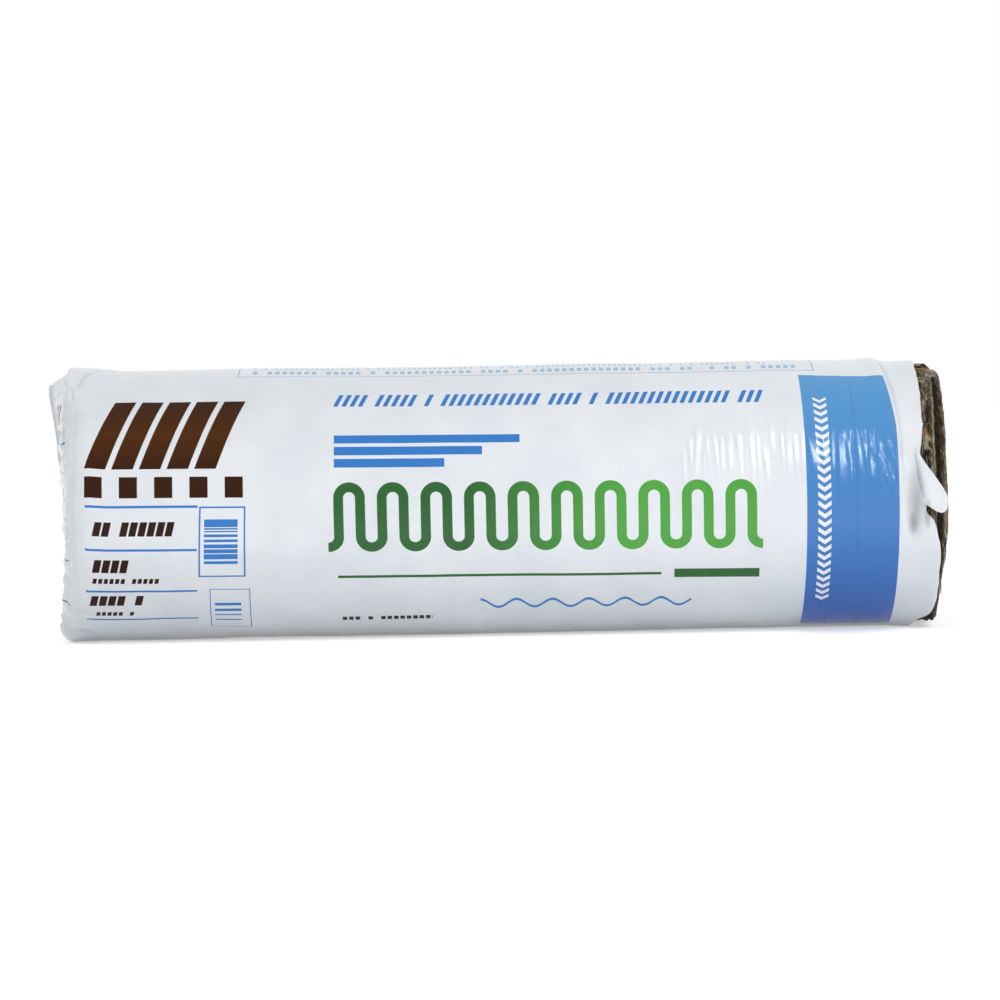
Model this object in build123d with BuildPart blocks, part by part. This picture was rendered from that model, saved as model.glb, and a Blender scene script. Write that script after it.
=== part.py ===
"""Pack of kraft-faced glass-wool batts in a plastic film bag.

The batts stand on edge, one behind the other, and are squeezed front to back.
The bag is closed at the left end and open at the right end, where the batts show.
Millimetres. +X runs along the batts to the open end, +Z is up, and the printed front looks along -Y.
"""
import os
from math import hypot

from build123d import *

# Batts
batt_count = 8
batt_length = 1219.0
batt_width = 365.0
flat_width = 135.0
edge_squeeze_share = 0.65
layer_clearance = 0.5

# Facings
facing_thickness = 1.0
facing_inset = 12.0

# Ends of the stack
end_dome = 33.0
closed_end_round = 30.0
open_end_round = 8.0
end_step = 9.0
end_step_shares = (0.7, 0.1, 0.6, 0.0, 0.3, 0.8, 0.2, 0.9)

# Film bag
film_thickness = 1.0
film_clearance = 0.4
film_setback = 60.0
film_edge_shares = (
    (0.00, 0.68),
    (0.07, 0.43),
    (0.24, 0.46),
    (0.43, 0.62),
    (0.44, 0.37),
    (0.48, 0.28),
    (0.53, 0.34),
    (0.68, 1.00),
    (0.85, 0.92),
    (1.00, 0.83),
)

# Margin by which cutting shapes reach past the stack
overrun = 40.0

# Positions that follow from the sizes
film_wall = film_clearance + film_thickness
pack_depth = flat_width + batt_width
half_width = batt_width / 2
half_depth = pack_depth / 2
centre_height = half_width + film_wall
left_end = film_wall / 2 - batt_length / 2
right_end = left_end + batt_length
cut_start = left_end - overrun
cut_length = batt_length + 2 * overrun
cut_bottom = centre_height - half_width - overrun
cut_top = centre_height + half_width + overrun
dome_radius = (half_depth**2 + end_dome**2) / (2 * end_dome)
nose_reach = hypot(half_depth, half_width) + overrun


def stack_body(growth, setback):
    """Outline of the whole stack, grown all round and with its open end pulled back."""
    nose_radius = dome_radius + growth
    nose_tip = right_end + growth - setback
    nose_root = nose_tip - nose_radius + (nose_radius**2 - nose_reach**2) ** 0.5
    nose_mid_reach = nose_reach / 2
    nose_mid = nose_tip - nose_radius + (nose_radius**2 - nose_mid_reach**2) ** 0.5
    wall_tip = left_end - growth
    wall_reach = half_depth + overrun
    wall_root = wall_tip + nose_radius - (nose_radius**2 - wall_reach**2) ** 0.5
    with BuildPart() as body:
        with BuildSketch(Plane.YZ.offset(cut_start)):
            with Locations((0, centre_height)):
                SlotOverall(pack_depth + 2 * growth, batt_width + 2 * growth)
        extrude(amount=cut_length)
        # The closed end is rounded in plan only.
        with BuildSketch(Plane.XY.offset(cut_bottom)):
            with BuildLine():
                ThreePointArc((wall_root, -wall_reach), (wall_tip, 0), (wall_root, wall_reach))
                Polyline(
                    (wall_root, wall_reach),
                    (cut_start + cut_length, wall_reach),
                    (cut_start + cut_length, -wall_reach),
                    (wall_root, -wall_reach),
                )
            make_face()
        extrude(amount=cut_top - cut_bottom, mode=Mode.INTERSECT)
        # The open end is rounded in plan and in height.
        with BuildSketch(Plane.XZ):
            with BuildLine():
                ThreePointArc(
                    (nose_tip, centre_height),
                    (nose_mid, centre_height + nose_mid_reach),
                    (nose_root, centre_height + nose_reach),
                )
                Polyline(
                    (nose_root, centre_height + nose_reach),
                    (cut_start, centre_height + nose_reach),
                    (cut_start, centre_height),
                    (nose_tip, centre_height),
                )
            make_face()
        revolve(axis=Axis((0, 0, centre_height), (1, 0, 0)), mode=Mode.INTERSECT)
        fillet(body.faces().sort_by(Axis.X)[0].edges(), radius=closed_end_round + growth)
        fillet(body.faces().sort_by(Axis.X)[-1].edges(), radius=open_end_round + growth)
    return body.part


def layer_line(share, shift):
    """Curve between two layers of the stack: straight in the middle, bowed outward towards front and back."""
    foot = share * half_depth * edge_squeeze_share + shift
    bow = share * half_depth * (1 - edge_squeeze_share)
    bottom = centre_height - half_width
    top = centre_height + half_width
    Line((foot, cut_bottom), (foot, bottom))
    if bow == 0:
        Line((foot, bottom), (foot, top))
    else:
        ThreePointArc((foot, bottom), (foot + bow, centre_height), (foot, top))
    Line((foot, top), (foot, cut_top))
    return foot


def slab_section(front_share, front_shift, back_share, back_shift):
    """Section of the space between two layer lines."""
    outside = half_depth + overrun
    with BuildSketch(Plane.YZ.offset(cut_start)) as section:
        with BuildLine():
            if front_share > -1:
                front_foot = layer_line(front_share, front_shift)
            else:
                front_foot = -outside
                Line((front_foot, cut_bottom), (front_foot, cut_top))
            if back_share < 1:
                back_foot = layer_line(back_share, back_shift)
            else:
                back_foot = outside
                Line((back_foot, cut_bottom), (back_foot, cut_top))
            Line((front_foot, cut_bottom), (back_foot, cut_bottom))
            Line((front_foot, cut_top), (back_foot, cut_top))
        make_face()
    return section.sketch


os.makedirs("parts", exist_ok=True)

# The facings of the front half lie behind their batts, and those of the back half in front of theirs.
bare_shift = layer_clearance / 2
skin_shift = bare_shift + facing_thickness
faced_shift = skin_shift + layer_clearance
for index in range(batt_count):
    front_share = 2 * index / batt_count - 1
    back_share = 2 * (index + 1) / batt_count - 1
    step_share = end_step_shares[index % len(end_step_shares)]
    stack = stack_body(0, end_step * step_share)
    if back_share <= 0:
        slab = slab_section(front_share, bare_shift, back_share, -faced_shift)
        skin = slab_section(back_share, -skin_shift, back_share, -bare_shift)
    else:
        slab = slab_section(front_share, faced_shift, back_share, -bare_shift)
        skin = slab_section(front_share, bare_shift, front_share, skin_shift)
    with BuildPart() as batt:
        add(stack)
        extrude(slab, amount=cut_length, mode=Mode.INTERSECT)
    batt.part.label = f"batt_{index + 1}"
    export_step(batt.part, f"parts/batt_{index + 1}.step")
    with BuildPart() as facing:
        add(stack)
        extrude(skin, amount=cut_length, mode=Mode.INTERSECT)
        with BuildSketch(Plane.XY.offset(centre_height - half_width + facing_inset)):
            with Locations((cut_start, 0)):
                Rectangle(cut_length, 2 * (half_depth + overrun), align=(Align.MIN, Align.CENTER))
        extrude(amount=batt_width - 2 * facing_inset, mode=Mode.INTERSECT)
    facing.part.label = f"kraft_facing_{index + 1}"
    export_step(facing.part, f"parts/kraft_facing_{index + 1}.step")

# The bag is a thin skin over the stack, cut open at the right end.
film_height = batt_width + 2 * film_wall
film_reach = right_end + overrun
film_edge = [
    (right_end - setback_share * film_setback, height_share * film_height)
    for height_share, setback_share in film_edge_shares
]
with BuildPart() as film_bag:
    add(stack_body(film_wall, 0))
    add(stack_body(film_clearance, 0), mode=Mode.SUBTRACT)
    with BuildSketch(Plane.XZ):
        with BuildLine():
            Polyline(
                (film_edge[0][0], cut_bottom),
                *film_edge,
                (film_edge[-1][0], cut_top),
                (film_reach, cut_top),
                (film_reach, cut_bottom),
                close=True,
            )
        make_face()
    extrude(amount=half_depth + overrun, mode=Mode.SUBTRACT)
    with BuildSketch(Plane.XZ):
        with BuildLine():
            Polyline(
                (film_edge[0][0], cut_bottom),
                film_edge[0],
                film_edge[-1],
                (film_edge[-1][0], cut_top),
                (film_reach, cut_top),
                (film_reach, cut_bottom),
                close=True,
            )
        make_face()
    extrude(amount=-half_depth - overrun, mode=Mode.SUBTRACT)
film_bag.part.label = "film_bag"
export_step(film_bag.part, "parts/film_bag.step")
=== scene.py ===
"""Pack of insulation batts in a printed film bag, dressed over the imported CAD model.

The film is one grid that runs from its sealed end to its torn open end. The batts show layered
fibres at the open end, with the edges of their paper facings between them. Metres throughout.
"""
import math

import bpy
import numpy as np
from mathutils import Matrix, Vector


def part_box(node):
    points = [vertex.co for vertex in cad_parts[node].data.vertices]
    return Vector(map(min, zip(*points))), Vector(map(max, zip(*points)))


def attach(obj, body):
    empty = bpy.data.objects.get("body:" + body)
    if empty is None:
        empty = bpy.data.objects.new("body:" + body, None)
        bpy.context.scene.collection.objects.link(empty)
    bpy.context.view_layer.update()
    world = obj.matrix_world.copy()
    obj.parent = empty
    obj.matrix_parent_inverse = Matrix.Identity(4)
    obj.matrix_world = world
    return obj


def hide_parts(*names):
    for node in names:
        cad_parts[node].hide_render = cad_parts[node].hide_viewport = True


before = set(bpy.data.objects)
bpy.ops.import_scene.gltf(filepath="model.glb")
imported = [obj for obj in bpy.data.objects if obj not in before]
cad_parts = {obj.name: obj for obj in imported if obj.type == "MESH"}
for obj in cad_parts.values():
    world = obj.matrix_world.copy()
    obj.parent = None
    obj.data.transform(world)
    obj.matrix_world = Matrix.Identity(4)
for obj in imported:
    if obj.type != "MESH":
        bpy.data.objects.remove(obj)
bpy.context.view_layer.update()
scene = bpy.context.scene

# Sizes read from the CAD model
batt_names = sorted(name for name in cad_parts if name.startswith("batt_"))
facing_names = sorted(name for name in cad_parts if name.startswith("kraft_facing_"))
film_low, film_high = (np.array(corner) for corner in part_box("film_bag"))
left_end = film_low[0]
right_end = max(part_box(name)[1][0] for name in batt_names)
radius = film_high[2] / 2
half_depth = film_high[1]
half_flat = half_depth - radius
flat = 2 * half_flat
quarter = radius * math.pi / 2
perimeter = 4 * quarter + 2 * flat

# Shape of the stack and of its ends, as in the CAD model
end_dome = 0.033
dome_radius = (half_depth**2 + end_dome**2) / (2 * end_dome)
edge_squeeze = 0.65


def sealed_end_x(y):
    """Face of the sealed end, domed in plan."""
    return left_end + end_dome * (y / half_depth) ** 2


def smoothstep(low, high, value):
    share = np.clip((value - low) / (high - low), 0, 1)
    return share * share * (3 - 2 * share)


def low_tuck(z):
    """How much further the open end falls back low down, at heights over the middle."""
    return 0.008 * smoothstep(-0.05, -0.165, z)


def top_dip(x, z):
    """How far the upper side sinks towards the open end."""
    sink = 0.0015 * smoothstep(0.38, 0.46, x) + 0.0045 * smoothstep(0.500, 0.535, x)
    return sink * (z / (2 * radius)) ** 2


def hashed(ix, iy, iz, seed):
    """Repeatable number from 0 to 1 for each whole grid point."""
    mixed = ix * 374761393 + iy * 668265263 + iz * 2147483647 + seed * 974634599
    mixed = (mixed ^ (mixed >> 13)) * 1274126177
    mixed = mixed ^ (mixed >> 16)
    return (mixed & 0xFFFF) / 0xFFFF


def noise(x, y, z, seed):
    """Smooth noise from -1 to 1 with features about one unit wide."""
    x, y, z = np.broadcast_arrays(np.asarray(x, float), np.asarray(y, float), np.asarray(z, float))
    cell = [np.floor(value).astype(np.int64) for value in (x, y, z)]
    part = [value - whole for value, whole in zip((x, y, z), cell)]
    blend = [value * value * (3 - 2 * value) for value in part]
    total = np.zeros(x.shape)
    for dx in (0, 1):
        for dy in (0, 1):
            for dz in (0, 1):
                weight = np.ones(x.shape)
                for step, amount in zip((dx, dy, dz), blend):
                    weight = weight * (amount if step else 1 - amount)
                total += weight * hashed(cell[0] + dx, cell[1] + dy, cell[2] + dz, seed)
    return 2 * total - 1


def bump(offset, reach):
    """Soft hill that is 1 in the middle and 0 from its reach on."""
    share = np.clip(np.abs(offset) / reach, 0, 1)
    return (1 - share * share) ** 2


def mesh_object(name, vertices, faces, material, smooth=True):
    mesh = bpy.data.meshes.new(name)
    mesh.from_pydata(np.asarray(vertices).tolist(), [], [list(face) for face in faces])
    mesh.polygons.foreach_set("use_smooth", [smooth] * len(mesh.polygons))
    mesh.materials.append(material)
    mesh.update()
    piece = bpy.data.objects.new(name, mesh)
    scene.collection.objects.link(piece)
    return piece


def grid_quads(rows, columns):
    """Faces of a grid of points that are numbered row by row."""
    corner = np.arange(rows * columns).reshape(rows, columns)
    quads = (corner[:-1, :-1], corner[1:, :-1], corner[1:, 1:], corner[:-1, 1:])
    return np.stack(quads, -1).reshape(-1, 4).tolist()


def rim_loop(rows, columns):
    """Rows and columns of the points on a grid's rim, one after another round it."""
    last_row, last_column = rows - 1, columns - 1
    loop = [(0, column) for column in range(last_column)]
    loop += [(row, last_column) for row in range(last_row)]
    loop += [(last_row, column) for column in range(last_column, 0, -1)]
    loop += [(row, 0) for row in range(last_row, 0, -1)]
    return np.array(loop).T


# Materials


class Nodes:
    """Small helper that writes a material's nodes as formulas."""

    def __init__(self, name):
        self.material = bpy.data.materials.new(name)
        self.material.use_nodes = True
        self.tree = self.material.node_tree
        self.shader = self.tree.nodes["Principled BSDF"]

    def add(self, kind, inputs=None, **settings):
        node = self.tree.nodes.new(kind)
        for key, value in settings.items():
            setattr(node, key, value)
        for key, value in (inputs or {}).items():
            self.feed(value, node.inputs[key])
        return node

    def feed(self, value, target):
        if isinstance(value, bpy.types.NodeSocket):
            self.tree.links.new(value, target)
        else:
            target.default_value = value

    def shade(self, name, value):
        """Give an input of the shader a constant or a formula."""
        self.feed(value, self.shader.inputs[name])

    def math(self, operation, first, second=0.0, third=0.0):
        node = self.add("ShaderNodeMath", operation=operation)
        for value, target in zip((first, second, third), node.inputs):
            self.feed(value, target)
        return node.outputs[0]

    def line(self, value, factor, shift):
        return self.math("MULTIPLY_ADD", value, factor, shift)

    def less(self, value, amount):
        return self.math("SUBTRACT", value, amount)

    def above(self, value, limit):
        return self.math("GREATER_THAN", value, limit)

    def below(self, value, limit):
        return self.math("LESS_THAN", value, limit)

    def mix(self, share, first, second):
        node = self.add("ShaderNodeMix", data_type="RGBA")
        self.feed(share, node.inputs["Factor"])
        self.feed(first, node.inputs["A"])
        self.feed(second, node.inputs["B"])
        return node.outputs["Result"]

    def noise(self, vector, scale, detail=2.0, roughness=0.5):
        inputs = {"Vector": vector, "Scale": scale, "Detail": detail, "Roughness": roughness}
        return self.add("ShaderNodeTexNoise", inputs).outputs["Fac"]

    def ramp(self, value, low, high):
        """Straight rise from 0 at low to 1 at high, held outside."""
        node = self.add("ShaderNodeMapRange", {"Value": value, "From Min": low, "From Max": high})
        return node.outputs["Result"]

    def scaled(self, vector, factors):
        node = self.add("ShaderNodeVectorMath", operation="MULTIPLY")
        self.feed(vector, node.inputs[0])
        self.feed(factors, node.inputs[1])
        return node.outputs[0]

    def bump(self, height, strength, distance):
        inputs = {"Height": height, "Strength": strength, "Distance": distance}
        return self.add("ShaderNodeBump", inputs).outputs["Normal"]


def srgb(red, green, blue):
    """Linear colour of an 8-bit screen colour."""
    linear = []
    for value in (red, green, blue):
        share = value / 255
        linear.append(share / 12.92 if share <= 0.04045 else ((share + 0.055) / 1.055) ** 2.4)
    return (*linear, 1.0)


film_white = srgb(236, 240, 245)
film_shade = srgb(227, 233, 238)
# Grey of the painted shade in the film's folds beside the flap
painted_fold_shade = srgb(104, 114, 114)
ink_brown = srgb(82, 42, 2)
ink_dark_brown = srgb(56, 26, 4)
ink_dark = srgb(48, 20, 10)
ink_blue = srgb(44, 124, 204)
ink_pale_blue = srgb(146, 186, 218)
band_top = srgb(82, 155, 214)
band_bottom = srgb(46, 98, 186)
ink_dark_green = srgb(30, 98, 38)
ink_light_green = srgb(78, 166, 62)
wool_deep = srgb(12, 8, 4)
wool_streak = srgb(108, 93, 64)
wool_warm = srgb(84, 50, 22)
wool_fleck = srgb(188, 178, 150)
# Painted shade for the wool's gaps, dents and the sides hidden between batts
wool_painted_shade = srgb(9, 6, 3)
# Paler fibre, also used as painted light on raised layers and tufts
wool_pale_and_lit = srgb(208, 200, 174)
wool_pale_and_lit_warm = srgb(168, 122, 74)
kraft_dark = srgb(112, 86, 58)
kraft_light = srgb(160, 130, 94)

film_specular = 0.36
ink_dulling = 0.24
film_roughness = 0.19
roughness_spread = 0.07
tight_gloss = 0.12

# Rows of strokes: two ends (x), foot and head (s), pitch, seed, filled share, slant
upper_rows = (
    (-0.34, 0.40, 0.222, 0.236, 0.010, 3.0, 0.62, 0.0),
    (-0.34, 0.36, 0.246, 0.256, 0.007, 17.0, 0.62, 0.0),
    (-0.34, 0.40, 0.266, 0.276, 0.007, 23.0, 0.62, 0.0),
)
title_row = (-0.228, 0.340, 0.1385, 0.162, 0.0110, 8.0, 0.55, 0.35)
dark_rows = (
    (-0.545, -0.437, -0.046, -0.027, 0.0120, 2.0, 0.80, 0.2),
    (-0.545, -0.497, -0.098, -0.079, 0.0120, 52.0, 0.80, 0.2),
    (-0.470, -0.457, -0.098, -0.079, 0.0130, 60.0, 0.80, 0.2),
    (-0.545, -0.448, -0.115, -0.107, 0.0075, 6.0, 0.70, 0.2),
    (-0.550, -0.466, -0.154, -0.136, 0.0120, 93.0, 0.80, 0.2),
    (-0.550, -0.487, -0.175, -0.167, 0.0075, 12.0, 0.70, 0.2),
    (-0.222, -0.101, -0.193, -0.184, 0.0086, 15.0, 0.72, 0.0),
    (-0.780, -0.680, 0.140, 0.200, 0.0200, 18.0, 0.70, 0.2),
    (-0.780, -0.670, 0.110, 0.128, 0.0110, 31.0, 0.70, 0.2),
    (-0.780, -0.655, 0.066, 0.084, 0.0110, 37.0, 0.70, 0.2),
    (-0.780, -0.660, 0.018, 0.032, 0.0090, 43.0, 0.70, 0.2),
    (-0.780, -0.650, -0.084, -0.069, 0.0090, 47.0, 0.70, 0.2),
    (-0.780, -0.670, -0.140, -0.116, 0.0130, 53.0, 0.70, 0.2),
)
stroke_gaps = 0.15
arrow_slope = 0.7

# Rules on the front and on the sealed end
rule_levels = (-0.007, -0.065, -0.128, -0.184)
rule_half = 0.0016
end_rule_levels = (0.100, 0.049, 0.005, -0.025, -0.057, -0.094, -0.178)
end_rule_half = 0.0015

# Patches of painted shade in the folds beside and under the torn flap, partly standing for dark wool seen
# through the film: middle (x, s), half width, half height
painted_shade_patches = ((0.541, -0.010, 0.017, 0.058), (0.537, -0.036, 0.008, 0.020), (0.556, -0.024, 0.006, 0.026))


class Print:
    """Masks for the generic print, in metres along the bag (x) and up round its front (s)."""

    def __init__(self, nodes):
        self.nodes = nodes
        uv = nodes.add("ShaderNodeUVMap", uv_map="print").outputs["UV"]
        split = nodes.add("ShaderNodeSeparateXYZ", {"Vector": uv})
        self.x, self.s = split.outputs["X"], split.outputs["Y"]

    def span(self, value, low, high):
        """1 where value lies between low and high."""
        return self.nodes.math("COMPARE", value, (low + high) / 2, (high - low) / 2)

    def box(self, x_low, x_high, s_low, s_high):
        return self.both(self.span(self.x, x_low, x_high), self.span(self.s, s_low, s_high))

    def joined(self, operation, masks):
        whole = masks[0]
        for mask in masks[1:]:
            whole = self.nodes.math(operation, whole, mask)
        return whole

    def union(self, *masks):
        return self.joined("MAXIMUM", masks)

    def both(self, *masks):
        return self.joined("MULTIPLY", masks)

    def frame(self, x_low, x_high, s_low, s_high, line):
        outer = self.box(x_low, x_high, s_low, s_high)
        inner = self.box(x_low + line, x_high - line, s_low + line, s_high - line)
        return self.nodes.less(outer, inner)

    def repeats(self, value, start, pitch, width):
        """Row of equal bars, the first of which begins at start."""
        place = self.nodes.math("FLOORED_MODULO", self.nodes.math("ADD", value, -start), pitch)
        return self.nodes.below(place, width)

    def dashes(self, along, pitch, fill, seed):
        """Bars of uneven width."""
        inputs = {"W": self.nodes.line(along, 1 / pitch, seed), "Scale": 1.0, "Detail": 0.0}
        wave = self.nodes.add("ShaderNodeTexNoise", inputs, noise_dimensions="1D")
        return self.nodes.above(wave.outputs["Fac"], 1 - fill)

    def strokes(self, x_low, x_high, s_low, s_high, pitch, seed, fill, slant):
        """Row of equal strokes in uneven groups, as print looks from too far away to read."""
        nodes = self.nodes
        along = nodes.line(nodes.less(self.s, s_low), -slant, self.x)
        place = nodes.line(along, 1 / pitch, -x_low / pitch)
        cell = nodes.math("ADD", nodes.math("FLOOR", place), seed)
        chance = nodes.add("ShaderNodeTexWhiteNoise", {"W": cell}, noise_dimensions="1D").outputs["Value"]
        stroke = self.both(nodes.below(nodes.math("FRACT", place), fill), nodes.above(chance, stroke_gaps))
        return self.both(stroke, self.span(along, x_low, x_high), self.span(self.s, s_low, s_high))

    def chevrons(self, x_middle, half_width, s_low, s_high, pitch, fill):
        """Column of arrowheads that point down."""
        nodes = self.nodes
        off = nodes.math("ABSOLUTE", nodes.less(self.x, x_middle))
        tip = nodes.line(off, -arrow_slope, self.s)
        mark = nodes.math("FRACT", nodes.math("DIVIDE", nodes.less(tip, s_low), pitch))
        return self.both(nodes.below(mark, fill), nodes.below(off, half_width), self.span(tip, s_low, s_high))

    def serpentine(self, x_low, s_middle, half_height, pitch, stroke):
        """Looping line that runs up and down, the drawing-board sign for soft insulation."""
        nodes = self.nodes
        x = nodes.less(self.x, x_low)
        s = nodes.less(self.s, s_middle)
        straight = half_height - pitch / 2 - stroke / 2
        over = nodes.less(s, straight)
        under = nodes.math("ADD", s, straight)
        is_over = nodes.above(over, 0.0)
        is_under = nodes.below(under, 0.0)
        stem = nodes.math("ABSOLUTE", nodes.less(nodes.math("FLOORED_MODULO", x, pitch), pitch / 2))
        on_stem = nodes.below(stem, stroke / 2)
        parts = [self.both(on_stem, nodes.less(1.0, nodes.math("ADD", is_over, is_under)))]
        for shift, along, there in ((0.0, over, is_over), (pitch, under, is_under)):
            across = nodes.math("FLOORED_MODULO", nodes.math("ADD", x, shift), 2 * pitch)
            squares = [nodes.math("POWER", value, 2.0) for value in (nodes.less(across, pitch), along)]
            ring = nodes.less(nodes.math("SQRT", nodes.math("ADD", *squares)), pitch / 2)
            parts.append(self.both(nodes.below(nodes.math("ABSOLUTE", ring), stroke / 2), there))
        return self.union(*parts)


def film_material():
    nodes = Nodes("film")
    sheet = Print(nodes)
    place = nodes.add("ShaderNodeTexCoord").outputs["Object"]
    cloud = nodes.noise(place, 14.0, 3.0)
    colour = nodes.mix(nodes.ramp(cloud, 0.35, 0.7), film_white, film_shade)

    # Pale rows in a frame on the upper side
    upper = [sheet.strokes(*row) for row in upper_rows]
    upper.append(sheet.frame(-0.36, 0.42, 0.212, 0.40, 0.0018))
    colour = nodes.mix(sheet.union(*upper), colour, ink_pale_blue)

    # Blue band with its right edge along the tuck, and a column of white arrowheads down it
    sagging = nodes.line(sheet.x, 0.05, sheet.s)
    tucked = nodes.math("MAXIMUM", nodes.less(sheet.s, 0.100), 0.0)
    tucked = nodes.line(tucked, 0.090, sheet.x)
    band = sheet.both(nodes.above(sheet.x, 0.397), nodes.below(tucked, 0.519))
    band = sheet.both(band, sheet.span(sagging, -0.215, 0.219))
    band_colour = nodes.mix(nodes.ramp(sheet.s, -0.20, 0.17), band_bottom, band_top)
    colour = nodes.mix(band, colour, band_colour)
    arrows = sheet.chevrons(0.4205, 0.0088, -0.159, 0.141, 0.0118, 0.52)
    colour = nodes.mix(arrows, colour, film_white)

    # Brown slanted bars and a row of squares under them
    slant = nodes.line(sheet.s, -0.35, sheet.x)
    bars = sheet.both(sheet.repeats(slant, -0.5713, 0.0365, 0.0285), sheet.span(slant, -0.5713, -0.3968))
    bars = sheet.both(bars, sheet.span(sheet.s, 0.043, 0.149))
    squares = sheet.repeats(sheet.x, -0.556, 0.0465, 0.024)
    squares = sheet.both(squares, sheet.box(-0.556, -0.345, 0.0045, 0.0325))
    glow = nodes.ramp(nodes.math("ABSOLUTE", nodes.less(sheet.s, 0.094)), 0.056, 0.0)
    brown = nodes.mix(glow, ink_dark_brown, ink_brown)
    heavy_ink = sheet.union(bars, squares)
    colour = nodes.mix(heavy_ink, colour, brown)

    # Blue rules, two frames with bars in them, a slanted row, stripes, a wave and the rules of the sealed end
    blue = [sheet.box(-0.555, -0.406, level - rule_half, level + rule_half) for level in rule_levels]
    blue.append(sheet.frame(-0.404, -0.343, -0.105, -0.007, 0.0022))
    bars_inside = sheet.dashes(sheet.s, 0.0034, 0.55, 29.0)
    blue.append(sheet.both(sheet.box(-0.397, -0.353, -0.088, -0.024), bars_inside))
    blue.append(sheet.frame(-0.390, -0.338, -0.208, -0.125, 0.0012))
    lines_inside = sheet.dashes(sheet.s, 0.006, 0.45, 41.0)
    blue.append(sheet.both(sheet.box(-0.384, -0.350, -0.199, -0.139), lines_inside))
    blue.append(sheet.strokes(*title_row))
    for row in range(3):
        blue.append(sheet.box(-0.226, 0.020 - 0.05 * row, 0.078 - 0.017 * row, 0.090 - 0.017 * row))
    swell = nodes.math("SINE", nodes.math("MULTIPLY", sheet.x, 130.0))
    swell = nodes.line(swell, -0.008, sheet.s)
    blue.append(sheet.both(sheet.span(swell, -0.160, -0.155), sheet.span(sheet.x, -0.036, 0.246)))
    for level in end_rule_levels:
        blue.append(sheet.box(-0.785, -0.598, level - end_rule_half, level + end_rule_half))
    colour = nodes.mix(sheet.union(*blue), colour, ink_blue)

    # Dark strokes between the rules, low on the front and on the sealed end
    dark = sheet.union(*[sheet.strokes(*row) for row in dark_rows])
    colour = nodes.mix(dark, colour, ink_dark)

    # Green serpentine and the rules under it
    loops = sheet.serpentine(-0.235, -0.0225, 0.0465, 0.0287, 0.0130)
    loops = sheet.both(loops, sheet.span(sheet.x, -0.235, 0.339))
    loop_colour = nodes.mix(nodes.ramp(sheet.x, -0.05, 0.16), ink_dark_green, ink_light_green)
    colour = nodes.mix(loops, colour, loop_colour)
    for box in ((-0.224, 0.205, -0.108, -0.104), (0.222, 0.335, -0.113, -0.099)):
        colour = nodes.mix(sheet.box(*box), colour, ink_dark_green)

    # Painted shade in the folds of the loose film beside and under the flap, partly standing for dark wool
    # seen through the film
    open_side = nodes.add("ShaderNodeSeparateXYZ", {"Vector": place}).outputs["X"]
    open_side = nodes.above(open_side, 0.0)
    for x, s, width, height in painted_shade_patches:
        far_x = nodes.math("POWER", nodes.math("DIVIDE", nodes.less(sheet.x, x), width), 2.0)
        far_s = nodes.math("POWER", nodes.math("DIVIDE", nodes.less(sheet.s, s), height), 2.0)
        shade_patch = nodes.math("POWER", nodes.ramp(nodes.math("ADD", far_x, far_s), 1.0, 0.0), 1.6)
        colour = nodes.mix(sheet.both(shade_patch, open_side, 0.5), colour, painted_fold_shade)
    nodes.shade("Base Color", colour)

    # Fine crinkles, more gloss in the tight stretch beside the open end, less on heavy ink
    crinkle = nodes.noise(place, 90.0, 4.0, 0.6)
    nodes.shade("Normal", nodes.bump(crinkle, 0.10, 0.002))
    tight = sheet.both(nodes.ramp(sheet.x, 0.22, 0.34), nodes.ramp(sheet.s, -0.06, 0.02))
    tight = sheet.both(tight, nodes.ramp(sheet.s, 0.15, 0.09), open_side)
    gloss = nodes.ramp(nodes.noise(place, 30.0, 2.0), 0.2, 0.8)
    rough = nodes.line(gloss, roughness_spread, film_roughness)
    nodes.shade("Roughness", nodes.line(tight, -tight_gloss, rough))
    nodes.shade("Specular IOR Level", film_specular)
    nodes.shade("Specular IOR Level", nodes.line(sheet.union(heavy_ink, dark), -ink_dulling, film_specular))
    return nodes.material


def wool_material():
    nodes = Nodes("glass_wool")
    place = nodes.add("ShaderNodeTexCoord").outputs["Object"]
    tone_and_shade = nodes.add("ShaderNodeAttribute", attribute_name="tone_and_shade").outputs["Fac"]
    streak = nodes.noise(nodes.scaled(place, (230.0, 330.0, 34.0)), 1.0, 4.0, 0.65)
    fleck = nodes.noise(nodes.scaled(place, (330.0, 480.0, 90.0)), 1.0, 3.0, 0.6)
    patch = nodes.noise(nodes.scaled(place, (90.0, 140.0, 40.0)), 1.0, 3.0)
    warm = nodes.ramp(patch, 0.46, 0.68)
    colour = nodes.mix(nodes.ramp(streak, 0.42, 0.60), wool_deep, wool_streak)
    colour = nodes.mix(nodes.math("MULTIPLY", warm, 0.7), colour, wool_warm)
    colour = nodes.mix(nodes.ramp(fleck, 0.58, 0.68), colour, wool_fleck)
    # Below 0 the tone attribute paints shade into gaps, dents and the sides between batts
    colour = nodes.mix(nodes.ramp(tone_and_shade, 0.0, -1.0), colour, wool_painted_shade)
    # Above 0 it gives paler fibre, and painted light on raised layers and tufts
    light = nodes.mix(warm, wool_pale_and_lit, wool_pale_and_lit_warm)
    colour = nodes.mix(nodes.ramp(tone_and_shade, 0.0, 1.0), colour, light)
    nodes.shade("Base Color", colour)
    nodes.shade("Roughness", 0.95)
    nodes.shade("Specular IOR Level", 0.2)
    nodes.shade("Sheen Weight", 0.15)
    nodes.shade("Normal", nodes.bump(nodes.noise(place, 600.0, 3.0, 0.7), 0.6, 0.0015))
    return nodes.material


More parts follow.
